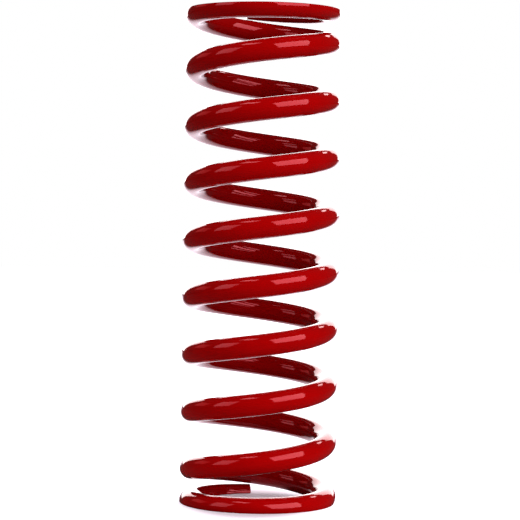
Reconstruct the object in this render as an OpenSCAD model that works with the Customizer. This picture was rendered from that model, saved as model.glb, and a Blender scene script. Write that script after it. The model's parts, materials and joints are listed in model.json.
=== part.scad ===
// Compression coil spring for a telescopic shock absorber: one round wire wound right-handed,
// with a closed and ground seat turn at each end.
// Frame: +Z up along the coil's axis, origin at the centre of the lower ground face, front towards -Y.

/* [Coil] */
// Clear diameter inside the coil, which locates on the spring seat
inner_d = 56; // [40:0.5:80]
// Diameter of the wire
wire_d = 11; // [8:0.1:13]
// Length of the unloaded spring between its ground faces
free_length = 245; // [200:1:320]
// Turns of wire from one tip to the other
total_turns = 10.02; // [6:0.01:11]
// Angle of the lower tip around the axis, from +X towards +Y
tip_angle = 97; // [0:1:359]

/* [Ground ends] */
// Wire ground away from the flat part of a seat turn
grind_depth = 3.9; // [2:0.1:5]
// Gap between a tip and the turn that passes over it
tip_gap = 0.2; // [0.1:0.05:0.5]
// Turns over which a tip dips below its seat turn to clear the turn that passes over it
tip_turns = 0.6; // [0.3:0.05:0.65]
// Turns from the lower tip to where the wire starts to climb out of the seat turn
lower_seat_turns = 0.5; // [0.4:0.05:0.65]
// Turns from the upper tip to where the wire starts to climb out of the seat turn
upper_seat_turns = 0.6; // [0.4:0.05:0.65]
// Turns over which the climb grows from flat to the full pitch
climb_turns = 0.4; // [0.1:0.05:0.4]

/* [Smoothness] */
// Flat sides around the wire
wire_sides = 16; // [8:4:16]
// Steps along one turn of the wire
turn_steps = 36; // [24:4:36]

/* [Hidden] */

wire_r = wire_d / 2;
coil_r = inner_d / 2 + wire_r;

// Height of the wire's centre line over the ground face, on the flat part of a seat turn
seat_height = wire_r - grind_depth;
// Turns that count in full for the pitch: each end gives up its seat and half of its climb
full_turns = total_turns - lower_seat_turns - upper_seat_turns - climb_turns;
pitch = (free_length - 2 * seat_height) / full_turns;
pitch_slope = atan2(pitch, 2 * PI * coil_r);

// Places of the rings along the wire, in turns: both tips, and every whole step of the angle between them
first_step = floor(tip_angle / 360 * turn_steps) + 1;
last_step = ceil((tip_angle / 360 + total_turns) * turn_steps) - 1;
ring_turns = [
    0,
    for (step = [first_step : last_step]) step / turn_steps - tip_angle / 360,
    total_turns
];
step_count = len(ring_turns) - 1;
slab_w = 2 * (coil_r + wire_d);

// Climb above a seat turn, whose slope grows evenly over climb_turns and then stays
function climb(turns, seat_turns) =
    let (
        growing = min(max(0, turns - seat_turns), climb_turns),
        steady = max(0, turns - seat_turns - climb_turns)
    )
    pitch * (pow(growing, 2) / (2 * climb_turns) + steady);

// Depth of a tip below its seat turn, none where the turn that passes over it is clear of it anyway
function tip_depth(seat_turns) = max(0, wire_d / cos(pitch_slope) + tip_gap - climb(1, seat_turns));

// Dip below a seat turn, a number of turns from its tip
function dip(turns, seat_turns) = tip_depth(seat_turns) * pow(max(0, 1 - turns / tip_turns), 2);

// Height of the centre line over a ground face, a number of turns from that end's tip
function end_height(turns, seat_turns) = seat_height - dip(turns, seat_turns) + climb(turns, seat_turns);

// Height of the centre line over the lower ground face
function wire_height(turns) =
    turns < total_turns / 2
        ? end_height(turns, lower_seat_turns)
        : free_length - end_height(total_turns - turns, upper_seat_turns);

// Slope of the centre line against the level, taken over one step
function wire_slope(turns) =
    let (half_step = 0.5 / turn_steps)
    atan2(wire_height(turns + half_step) - wire_height(turns - half_step), 2 * PI * coil_r / turn_steps);

// Ring of points around the centre line and square to it, the first one outwards
function wire_ring(turns) =
    let (
        angle = tip_angle + 360 * turns,
        slope = wire_slope(turns),
        outward = [cos(angle), sin(angle), 0],
        upward = [sin(angle) * sin(slope), -cos(angle) * sin(slope), cos(slope)],
        centre = coil_r * outward + [0, 0, wire_height(turns)]
    )
    [
        for (side = [0 : wire_sides - 1])
            let (around = 360 * side / wire_sides)
            centre + wire_r * (cos(around) * outward + sin(around) * upward)
    ];

// Two triangles for each side of the wire between two neighbouring rings
function wire_walls() = [
    for (step = [0 : step_count - 1], side = [0 : wire_sides - 1])
        let (
            next = (side + 1) % wire_sides,
            ring = step * wire_sides,
            next_ring = ring + wire_sides
        )
        each [
            [ring + side, next_ring + next, next_ring + side],
            [ring + side, ring + next, next_ring + next]
        ]
];

// The wire wound to shape, before its ends are ground
module wound_wire() {
    points = [for (turns = ring_turns) each wire_ring(turns)];
    lower_tip = [for (side = [wire_sides - 1 : -1 : 0]) side];
    upper_tip = [for (side = [0 : wire_sides - 1]) step_count * wire_sides + side];
    polyhedron(points, concat([lower_tip], wire_walls(), [upper_tip]));
}

// The wound wire with both ends ground flat and square to the axis
module coil_spring() {
    color("firebrick")
        intersection() {
            wound_wire();
            translate([-slab_w / 2, -slab_w / 2, 0])
                cube([slab_w, slab_w, free_length]);
        }
}

coil_spring();
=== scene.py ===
"""A shock absorber spring: the smooth gloss-coated coil in place of its plain solid, in a white studio.

Lengths are in metres and the frame is the part's own: +Z up along the coil's axis, front towards -Y.
"""
import json
import math

import bpy
from mathutils import Matrix, Vector


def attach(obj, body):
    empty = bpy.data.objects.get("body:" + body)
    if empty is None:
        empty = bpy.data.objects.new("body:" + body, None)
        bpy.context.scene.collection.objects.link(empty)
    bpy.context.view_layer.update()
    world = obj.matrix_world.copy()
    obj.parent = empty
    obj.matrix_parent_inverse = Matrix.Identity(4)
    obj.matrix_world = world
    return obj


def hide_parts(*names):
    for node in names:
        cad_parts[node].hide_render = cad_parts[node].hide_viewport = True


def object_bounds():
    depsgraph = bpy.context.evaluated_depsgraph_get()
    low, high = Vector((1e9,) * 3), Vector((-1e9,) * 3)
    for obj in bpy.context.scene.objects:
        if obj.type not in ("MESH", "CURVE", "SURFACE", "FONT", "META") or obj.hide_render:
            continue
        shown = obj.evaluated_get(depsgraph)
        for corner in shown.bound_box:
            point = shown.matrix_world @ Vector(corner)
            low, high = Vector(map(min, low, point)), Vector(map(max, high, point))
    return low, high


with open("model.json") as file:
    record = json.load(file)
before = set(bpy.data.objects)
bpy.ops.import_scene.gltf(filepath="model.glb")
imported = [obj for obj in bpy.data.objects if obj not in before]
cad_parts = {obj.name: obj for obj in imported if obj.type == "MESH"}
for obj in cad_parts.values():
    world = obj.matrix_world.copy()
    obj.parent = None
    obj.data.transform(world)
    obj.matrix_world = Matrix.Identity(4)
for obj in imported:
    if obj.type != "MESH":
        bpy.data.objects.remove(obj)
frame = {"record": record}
cad_low, cad_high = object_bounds()

MM = 0.001

# Main sizes, from the frame
FREE_LENGTH = cad_high[2] - cad_low[2]
OUTER_R = (cad_high[0] - cad_low[0]) / 2
GUIDE = next(mount for mount in frame["record"]["mounts"] if mount["name"] == "inner_guide")
INNER_R = GUIDE["dims"]["r_mm"] * MM
WIRE_R = (OUTER_R - INNER_R) / 2
COIL_R = OUTER_R - WIRE_R

# Winding and ground ends, the same as in the part's source
TOTAL_TURNS = 10.02
TIP_ANGLE = math.radians(97)
GRIND_DEPTH = 3.9 * MM
TIP_GAP = 0.2 * MM
TIP_TURNS = 0.6
LOWER_SEAT_TURNS = 0.5
UPPER_SEAT_TURNS = 0.6
CLIMB_TURNS = 0.4

# Height of the centre line on a seat turn, and the pitch that the sizes above leave
SEAT_HEIGHT = WIRE_R - GRIND_DEPTH
FULL_TURNS = TOTAL_TURNS - LOWER_SEAT_TURNS - UPPER_SEAT_TURNS - CLIMB_TURNS
PITCH = (FREE_LENGTH - 2 * SEAT_HEIGHT) / FULL_TURNS
PITCH_SLOPE = math.atan2(PITCH, 2 * math.pi * COIL_R)

# Edges of the ground faces and of the tips, rounded by the coat
EDGE_R = 0.35 * MM

# Mesh: rings along one turn, and points around one ring
TURN_STEPS = 108
ARC_POINTS = 20
EDGE_POINTS = 4
FLAT_POINTS = 7
# Half angle that a ring without a ground face keeps for the points of one
SPARE_ANGLE = math.radians(16)


# Centre line of the wire

def climb(turns, seat_turns):
    """Climb above a seat turn, whose slope grows evenly over CLIMB_TURNS and then stays."""
    growing = min(max(0.0, turns - seat_turns), CLIMB_TURNS)
    steady = max(0.0, turns - seat_turns - CLIMB_TURNS)
    return PITCH * (growing ** 2 / (2 * CLIMB_TURNS) + steady)


def end_height(turns, seat_turns):
    """Height over a ground face, a number of turns from that end's tip.

    The tip dips below its seat turn to clear the turn that passes over it.
    """
    depth = max(0.0, 2 * WIRE_R / math.cos(PITCH_SLOPE) + TIP_GAP - climb(1, seat_turns))
    dip = depth * max(0.0, 1 - turns / TIP_TURNS) ** 2
    return SEAT_HEIGHT - dip + climb(turns, seat_turns)


def wire_height(turns):
    """Height over the lower ground face, a number of turns from the lower tip."""
    if turns < TOTAL_TURNS / 2:
        return end_height(turns, LOWER_SEAT_TURNS)
    return FREE_LENGTH - end_height(TOTAL_TURNS - turns, UPPER_SEAT_TURNS)


def wire_slope(turns):
    """Slope against the level, taken over one step of the mesh."""
    half_step = 0.5 / TURN_STEPS
    rise = wire_height(turns + half_step) - wire_height(turns - half_step)
    return math.atan2(rise, 2 * math.pi * COIL_R / TURN_STEPS)


# Section of the wire

def spread(start, end, count):
    """Numbers from start to end, both included."""
    return [start + (end - start) * i / (count - 1) for i in range(count)]


def ground_span(depth):
    """Points along the underside of a section whose ground face lies depth below the wire's centre.

    They run from the right edge to the left one. Without a ground face they follow the round wire.
    """
    if depth >= WIRE_R * math.cos(SPARE_ANGLE):
        count = 2 * EDGE_POINTS + FLAT_POINTS
        angles = spread(SPARE_ANGLE, -SPARE_ANGLE, count)
        return [(WIRE_R * math.sin(a), max(-WIRE_R * math.cos(a), -depth)) for a in angles]
    centre_v = EDGE_R - depth
    centre_u = math.sqrt((WIRE_R - EDGE_R) ** 2 - centre_v ** 2)
    edge_angle = math.atan2(centre_v, centre_u)
    edge = [
        (centre_u + EDGE_R * math.cos(a), centre_v + EDGE_R * math.sin(a))
        for a in spread(edge_angle, -math.pi / 2, EDGE_POINTS)
    ]
    flat = [(u, -depth) for u in spread(centre_u, -centre_u, FLAT_POINTS + 2)[1:-1]]
    return edge + flat + [(-u, v) for u, v in reversed(edge)]


def wire_section(below, above):
    """Closed section of the wire between ground faces that lie below and above its centre."""
    lower = ground_span(below)
    upper = [(-u, -v) for u, v in ground_span(above)]
    low_angle = math.atan2(lower[0][1], lower[0][0])
    high_angle = math.atan2(upper[-1][1], upper[-1][0])
    side = [
        (WIRE_R * math.cos(a), WIRE_R * math.sin(a))
        for a in spread(low_angle, high_angle, ARC_POINTS + 2)[1:-1]
    ]
    return lower[::-1] + side + upper[::-1] + [(-u, v) for u, v in reversed(side)]


def wire_ring(turns, inset):
    """Section placed on the centre line and square to it, drawn in by a length at a tip's edge."""
    angle = TIP_ANGLE + 2 * math.pi * turns
    slope = wire_slope(turns)
    height = wire_height(turns)
    outward = Vector((math.cos(angle), math.sin(angle), 0))
    forward = Vector((-math.sin(angle), math.cos(angle), 0))
    upward = math.cos(slope) * Vector((0, 0, 1)) - math.sin(slope) * forward
    centre = COIL_R * outward + Vector((0, 0, height))
    section = wire_section(height / math.cos(slope), (FREE_LENGTH - height) / math.cos(slope))
    top_v = max(v for _, v in section)
    middle_v = (top_v + min(v for _, v in section)) / 2
    keep_u = 1 - inset / WIRE_R
    keep_v = 1 - inset / (top_v - middle_v)
    return [
        centre + outward * u * keep_u + upward * (middle_v + (v - middle_v) * keep_v)
        for u, v in section
    ]


def build_coil():
    """The coil as one closed mesh, with softened edges at its tips."""
    edge_turns = EDGE_R / (2 * math.pi * COIL_R)
    steps = round(TOTAL_TURNS * TURN_STEPS)
    lower_tip = [
        (edge_turns * (1 - math.sin(a)), EDGE_R * (1 - math.cos(a)))
        for a in spread(math.pi / 2, 0, EDGE_POINTS)
    ]
    between = [(TOTAL_TURNS * step / steps, 0.0) for step in range(1, steps)]
    upper_tip = [(TOTAL_TURNS - turns, inset) for turns, inset in reversed(lower_tip)]
    rings = [wire_ring(turns, inset) for turns, inset in lower_tip + between + upper_tip]

    count = len(rings[0])
    last = (len(rings) - 1) * count
    vertices = [point for ring in rings for point in ring]
    faces = [list(range(count))]
    for low in range(0, last, count):
        high = low + count
        for i in range(count):
            after = (i + 1) % count
            faces.append([low + after, low + i, high + i, high + after])
    faces.append([last + i for i in reversed(range(count))])

    mesh = bpy.data.meshes.new("coil")
    mesh.from_pydata(vertices, [], faces)
    mesh.validate()
    mesh.shade_smooth()
    coil = bpy.data.objects.new("coil", mesh)
    bpy.context.scene.collection.objects.link(coil)
    return coil


# Nodes of the materials

# Sockets of a Mix node for colours: the two colours and the result
MIX_FIRST = 6
MIX_SECOND = 7
MIX_RESULT = 2


def add_node(tree, kind, **values):
    """New node with the given properties."""
    node = tree.nodes.new(kind)
    for name, value in values.items():
        setattr(node, name, value)
    return node


def feed(tree, sockets, sources):
    """Give input sockets their sources in turn, each of them another socket or a plain value."""
    for socket, source in zip(sockets, sources):
        if isinstance(source, bpy.types.NodeSocket):
            tree.links.new(source, socket)
        else:
            socket.default_value = source


def reckon(tree, operation, *sources, clamp=False):
    """Socket with a number that a Math node works out."""
    node = add_node(tree, "ShaderNodeMath", operation=operation, use_clamp=clamp)
    feed(tree, node.inputs, sources)
    return node.outputs["Value"]


def reckon_vector(tree, operation, *sources):
    """Socket with a vector that a Vector Math node works out."""
    node = add_node(tree, "ShaderNodeVectorMath", operation=operation)
    feed(tree, node.inputs, sources)
    return node.outputs["Vector"]


def length(tree, vector):
    """Socket with the length of a vector."""
    node = add_node(tree, "ShaderNodeVectorMath", operation="LENGTH")
    tree.links.new(vector, node.inputs[0])
    return node.outputs["Value"]


def along(tree, vector, axis):
    """Socket with a vector's share along the axis X, Y or Z."""
    node = add_node(tree, "ShaderNodeSeparateXYZ")
    tree.links.new(vector, node.inputs[0])
    return node.outputs[axis]


def ramp(tree, value, start, end, low=0.0, high=1.0, curve="SMOOTHSTEP"):
    """Socket that goes from low to high while the value goes from start to end."""
    node = add_node(tree, "ShaderNodeMapRange", interpolation_type=curve)
    feed(tree, node.inputs, (value, start, end, low, high))
    return node.outputs["Result"]


def noise(tree, place, scale, detail):
    """Socket with a noise pattern."""
    node = add_node(tree, "ShaderNodeTexNoise")
    node.inputs["Scale"].default_value = scale
    node.inputs["Detail"].default_value = detail
    tree.links.new(place, node.inputs["Vector"])
    return node.outputs["Fac"]


def bump(tree, pattern, strength, depth):
    """Bump node that raises the surface by a pattern."""
    node = add_node(tree, "ShaderNodeBump")
    node.inputs["Strength"].default_value = strength
    node.inputs["Distance"].default_value = depth
    tree.links.new(pattern, node.inputs["Height"])
    return node


def diffuse(tree, colour):
    """Socket with a matt surface."""
    node = add_node(tree, "ShaderNodeBsdfDiffuse")
    node.inputs["Color"].default_value = colour
    return node.outputs["BSDF"]


def mix_shaders(tree, share, first, second):
    """Socket with a mix of two shaders, in which share is the second one's part."""
    node = add_node(tree, "ShaderNodeMixShader")
    feed(tree, node.inputs, (share, first, second))
    return node.outputs["Shader"]


def seen_share(tree, mirrored_share):
    """Socket with the share of a white background that a ray sees.

    It is all of it for the camera, and mirrored_share in a reflection or through glass.
    """
    path = add_node(tree, "ShaderNodeLightPath").outputs
    bounced = reckon(tree, "MAXIMUM", path["Is Glossy Ray"], path["Is Transmission Ray"])
    mirrored = reckon(tree, "MULTIPLY", bounced, mirrored_share)
    return reckon(tree, "MAXIMUM", path["Is Camera Ray"], mirrored)


# Coat

COAT_IOR = 1.6
COAT_TINT = (1.0, 0.2, 0.24, 1.0)
# Colours between which the coat drifts: its own colour outside the coil, and inside it a darker one, which
# is painted shade where the turns shade the inside
COAT_OUTSIDE = ((0.35, 0.0003, 0.0004, 1), (0.39, 0.0004, 0.0008, 1))
COAT_PAINTED_SHADE = ((0.24, 0.0002, 0.0003, 1), (0.27, 0.0003, 0.0006, 1))
# Noise of the drift, and its levels at which each of the two colours is reached
DRIFT_SCALE = 45
DRIFT_DETAIL = 3
DRIFT_LEVELS = (0.3, 0.7)
# Share of each axis that counts for the distance from the coil's own
ACROSS_AXIS = (1, 1, 0)
# Distance from the axis over which the painted shade inside the coil gives way to the coat's own colour
PAINTED_SHADE_R = COIL_R - 2.5 * MM
UNSHADED_R = COIL_R + 1.0 * MM
# Roughness of the coat on the wire and on the ground faces, where the grinding marks show through
GLOSS = 0.06
SATIN = 0.5
# Distance from the middle of the length over which gloss turns into satin
GLOSS_REACH = FREE_LENGTH / 2 - 0.06 * MM
SATIN_REACH = FREE_LENGTH / 2 - 0.02 * MM
# Orange peel
PEEL_SCALE = 300
PEEL_DETAIL = 1
PEEL_STRENGTH = 0.12
PEEL_DEPTH = 0.02 * MM
# Grinding marks: how many in a metre, across them and along them, and how deep
MARKS_IN_METRE = (1200, 25, 0)
MARKS_DETAIL = 2
MARKS_STRENGTH = 0.6
MARKS_DEPTH = 0.2 * MM


def drifting_colour(tree, drift, colours):
    """Socket with a colour that follows the drift between two colours."""
    node = add_node(tree, "ShaderNodeValToRGB")
    for stop, level, colour in zip(node.color_ramp.elements, DRIFT_LEVELS, colours):
        stop.position = level
        stop.color = colour
    tree.links.new(drift, node.inputs["Fac"])
    return node.outputs["Color"]


def red_coat():
    """Gloss red coat: a clear reflection over a deep colour, with a faint orange peel and colour drift.

    It is darker inside the coil, which is painted shade, and satin over faint grinding marks on the ground
    faces.
    """
    material = bpy.data.materials.new("red_coat")
    material.use_nodes = True
    tree = material.node_tree
    shader = tree.nodes["Principled BSDF"]
    shader.inputs["IOR"].default_value = COAT_IOR
    shader.inputs["Specular Tint"].default_value = COAT_TINT
    place = add_node(tree, "ShaderNodeTexCoord").outputs["Object"]

    # Ground faces: 1 on them and 0 elsewhere
    height = reckon(tree, "SUBTRACT", along(tree, place, "Z"), FREE_LENGTH / 2)
    ground = ramp(tree, reckon(tree, "ABSOLUTE", height), GLOSS_REACH, SATIN_REACH, curve="LINEAR")
    roughness = ramp(tree, ground, 0.0, 1.0, GLOSS, SATIN, curve="LINEAR")
    tree.links.new(roughness, shader.inputs["Roughness"])

    # Colour: the coat's own outside the coil and on the ground faces, and painted shade inside the coil
    from_axis = length(tree, reckon_vector(tree, "MULTIPLY", place, ACROSS_AXIS))
    unshaded = reckon(tree, "MAXIMUM", ramp(tree, from_axis, PAINTED_SHADE_R, UNSHADED_R), ground)
    drift = noise(tree, place, DRIFT_SCALE, DRIFT_DETAIL)
    colour = add_node(tree, "ShaderNodeMix", data_type="RGBA")
    tree.links.new(unshaded, colour.inputs["Factor"])
    # The darker inside colour is painted shade where the turns shade the inside of the coil
    tree.links.new(drifting_colour(tree, drift, COAT_PAINTED_SHADE), colour.inputs[MIX_FIRST])
    tree.links.new(drifting_colour(tree, drift, COAT_OUTSIDE), colour.inputs[MIX_SECOND])
    tree.links.new(colour.outputs[MIX_RESULT], shader.inputs["Base Color"])

    # Surface: the peel all over, and the marks on the ground faces
    waves = bump(tree, noise(tree, place, PEEL_SCALE, PEEL_DETAIL), PEEL_STRENGTH, PEEL_DEPTH)
    counted = reckon_vector(tree, "MULTIPLY", place, MARKS_IN_METRE)
    marks = noise(tree, counted, 1, MARKS_DETAIL)
    scratches = bump(tree, reckon(tree, "MULTIPLY", marks, ground), MARKS_STRENGTH, MARKS_DEPTH)
    tree.links.new(waves.outputs["Normal"], scratches.inputs["Normal"])
    tree.links.new(scratches.outputs["Normal"], shader.inputs["Normal"])
    return material


# Floor

FLOOR_SIZE = 8.0
# Colour of the floor, and the dark one that it has in the coat's reflections except straight behind
FLOOR_COLOUR = (0.75, 0.68, 0.75, 1)
FLOOR_MIRRORED = (0.06, 0.06, 0.06, 1)
# Share of its pale colour with which the floor lights the spring from below, near it and far off
BOUNCE_NEAR = 1.0
BOUNCE_FAR = 0.25
BOUNCE_NEAR_R = 0.1
BOUNCE_FAR_R = 0.45
# White that the floor shows by itself: little in the painted shadow patch under the spring, where the real
# shadow also shows, and all far off
GLOW_COLOUR = (0.95, 0.9, 1, 1)
GLOW_NEAR = 0.1
GLOW_FAR = 1.1
GLOW_NEAR_R = 0.034
GLOW_FAR_R = 0.06
# The painted shadow patch under the spring lies towards the camera, away from the back light, and is
# narrow across
PAINTED_SHADOW_CENTRE = (-0.004, -0.008, 0)
PAINTED_SHADOW_SQUEEZE = (1.4, 1, 1)
# Strip of floor that the coat mirrors as white, by how straight behind the spring it lies
MIRROR_EDGE = 0.86
MIRROR_FULL = 0.97


def floor_white():
    """Pale floor that is white to the camera and keeps the spring's shadow.

    In the coat's reflections it is dark except straight behind. Its own glow is low in a painted shadow
    patch under the spring, and the light that it throws up at the spring fades far off and in that patch.
    """
    material = bpy.data.materials.new("floor_white")
    material.use_nodes = True
    tree = material.node_tree
    tree.nodes.remove(tree.nodes["Principled BSDF"])
    path = add_node(tree, "ShaderNodeLightPath").outputs
    place = add_node(tree, "ShaderNodeTexCoord").outputs["Object"]

    # Painted shadow: a patch under the spring, shifted and squeezed, where the floor's own glow is low
    shifted = reckon_vector(tree, "SUBTRACT", place, PAINTED_SHADOW_CENTRE)
    far = length(tree, reckon_vector(tree, "MULTIPLY", shifted, PAINTED_SHADOW_SQUEEZE))
    level = ramp(tree, far, GLOW_NEAR_R, GLOW_FAR_R, GLOW_NEAR, GLOW_FAR)
    outward = reckon_vector(tree, "NORMALIZE", place)
    behind = ramp(tree, along(tree, outward, "Y"), MIRROR_EDGE, MIRROR_FULL)

    bounce = ramp(tree, far, BOUNCE_NEAR_R, BOUNCE_FAR_R, BOUNCE_NEAR, BOUNCE_FAR)
    bounced = reckon(tree, "MULTIPLY", path["Is Diffuse Ray"], bounce)
    shaded = reckon(tree, "MULTIPLY", bounced, level, clamp=True)
    shown = reckon(tree, "MAXIMUM", path["Is Camera Ray"], behind)
    pale = reckon(tree, "MAXIMUM", shown, shaded)
    surface = mix_shaders(tree, pale, diffuse(tree, FLOOR_MIRRORED), diffuse(tree, FLOOR_COLOUR))

    glow = add_node(tree, "ShaderNodeEmission")
    glow.inputs["Color"].default_value = GLOW_COLOUR
    strength = reckon(tree, "MULTIPLY", level, seen_share(tree, behind))
    tree.links.new(strength, glow.inputs["Strength"])
    both = add_node(tree, "ShaderNodeAddShader")
    feed(tree, both.inputs, (surface, glow.outputs["Emission"]))
    tree.links.new(both.outputs["Shader"], tree.nodes["Material Output"].inputs["Surface"])
    return material


def build_floor():
    """Plain level floor under the spring."""
    half = FLOOR_SIZE / 2
    corners = [(-half, -half, 0), (half, -half, 0), (half, half, 0), (-half, half, 0)]
    mesh = bpy.data.meshes.new("floor")
    mesh.from_pydata(corners, [], [[0, 1, 2, 3]])
    floor = bpy.data.objects.new("floor", mesh)
    floor.location.z = cad_low[2]
    floor.data.materials.append(floor_white())
    bpy.context.scene.collection.objects.link(floor)


# Light

WHITE = (1, 1, 1, 1)
ROOM_LEVEL = 0.04
# Part of the sky that the coat mirrors as white backdrop: straight behind the spring and low
BACKDROP_EDGE_Y = 0.93
BACKDROP_FULL_Y = 0.985
BACKDROP_EDGE_Z = 0.45
BACKDROP_FULL_Z = 0.25
# Watts of a square metre of lamp that looks white in a mirror
LAMP_WATTS = 4


def build_world():
    """White behind the spring and to the camera all round, and a dim room on the camera's side."""
    world = bpy.data.worlds.new("studio")
    world.use_nodes = True
    tree = world.node_tree
    room = tree.nodes["Background"]
    feed(tree, room.inputs, (WHITE, ROOM_LEVEL))
    white = add_node(tree, "ShaderNodeBackground")
    feed(tree, white.inputs, (WHITE, 1.0))

    direction = add_node(tree, "ShaderNodeTexCoord").outputs["Generated"]
    behind = ramp(tree, along(tree, direction, "Y"), BACKDROP_EDGE_Y, BACKDROP_FULL_Y)
    low = ramp(tree, along(tree, direction, "Z"), BACKDROP_EDGE_Z, BACKDROP_FULL_Z)
    share = seen_share(tree, reckon(tree, "MULTIPLY", behind, low))
    sky = mix_shaders(tree, share, room.outputs["Background"], white.outputs["Background"])
    tree.links.new(sky, tree.nodes["World Output"].inputs["Surface"])
    bpy.context.scene.world = world


def softbox(name, azimuth, elevation, distance, width, height, level, colour=(1, 1, 1)):
    """Area lamp aimed at the spring's middle.

    Azimuth is in degrees from the camera's side, positive to its right; level is the lamp's brightness
    as seen in a mirror, where 1 is white, before its colour.
    """
    side = math.radians(azimuth)
    lift = math.radians(elevation)
    away = Vector((math.sin(side) * math.cos(lift), -math.cos(side) * math.cos(lift), math.sin(lift)))
    lamp = bpy.data.lights.new(name, "AREA")
    lamp.shape = "RECTANGLE"
    lamp.size = width
    lamp.size_y = height
    lamp.energy = LAMP_WATTS * level * width * height
    lamp.color = colour
    holder = bpy.data.objects.new(name, lamp)
    holder.location = Vector((0, 0, FREE_LENGTH / 2)) + distance * away
    holder.rotation_euler = away.to_track_quat("Z", "Y").to_euler()
    holder.visible_camera = False
    bpy.context.scene.collection.objects.link(holder)


def build_lights():
    """Soft studio lamps around the spring.

    A large key stands at the right, a fill and a dim red board at the left, and a small strip hangs
    overhead. Behind the spring are a wide panel and a small spot.
    """
    red = (1, 0.2, 0.2)
    softbox("key", azimuth=44, elevation=29, distance=2.0, width=1.78, height=1.6, level=4.2)
    softbox("fill", azimuth=-61, elevation=30, distance=2.0, width=1.0, height=1.2, level=1.8)
    softbox("overhead", azimuth=-55, elevation=70, distance=1.5, width=0.5, height=0.25, level=3.5)
    softbox("side", azimuth=-108, elevation=25, distance=2.0, width=0.9, height=0.6, level=1.0, colour=red)
    softbox("back", azimuth=179, elevation=18, distance=2.0, width=2.6, height=1.3, level=3.2)
    softbox("spot", azimuth=141, elevation=41, distance=2.0, width=0.4, height=0.2, level=5.0)


# Camera, fitted to the photograph's outline

IMAGE_SIZE = 520
FOCAL_PIXELS = 1905.2
CAMERA_DISTANCE = 0.9486
CAMERA_HEIGHT = 0.1430
CAMERA_YAW = math.radians(-0.019)
CAMERA_PITCH = math.radians(-1.337)
CAMERA_ROLL = math.radians(0.8)


def build_camera():
    """Camera at the photograph's viewing angle."""
    forward = Vector((
        math.sin(CAMERA_YAW) * math.cos(CAMERA_PITCH),
        math.cos(CAMERA_YAW) * math.cos(CAMERA_PITCH),
        math.sin(CAMERA_PITCH),
    ))
    right = Vector((math.cos(CAMERA_YAW), -math.sin(CAMERA_YAW), 0))
    up = right.cross(forward)
    rolled_right = math.cos(CAMERA_ROLL) * right + math.sin(CAMERA_ROLL) * up
    rolled_up = math.cos(CAMERA_ROLL) * up - math.sin(CAMERA_ROLL) * right
    turn = Matrix((rolled_right, rolled_up, -forward)).transposed().to_4x4()
    place = Vector((0, -CAMERA_DISTANCE, cad_low[2] + CAMERA_HEIGHT))
    lens = bpy.data.cameras.new("camera")
    lens.sensor_fit = "HORIZONTAL"
    lens.angle = 2 * math.atan(IMAGE_SIZE / 2 / FOCAL_PIXELS)
    camera = bpy.data.objects.new("camera", lens)
    camera.matrix_world = Matrix.Translation(place) @ turn
    bpy.context.scene.collection.objects.link(camera)
    bpy.context.scene.camera = camera


coil = build_coil()
coil.data.materials.append(red_coat())
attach(coil, "root")
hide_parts("coil_spring")

build_floor()
build_world()
build_lights()
build_camera()
bpy.context.scene.view_settings.view_transform = "Standard"
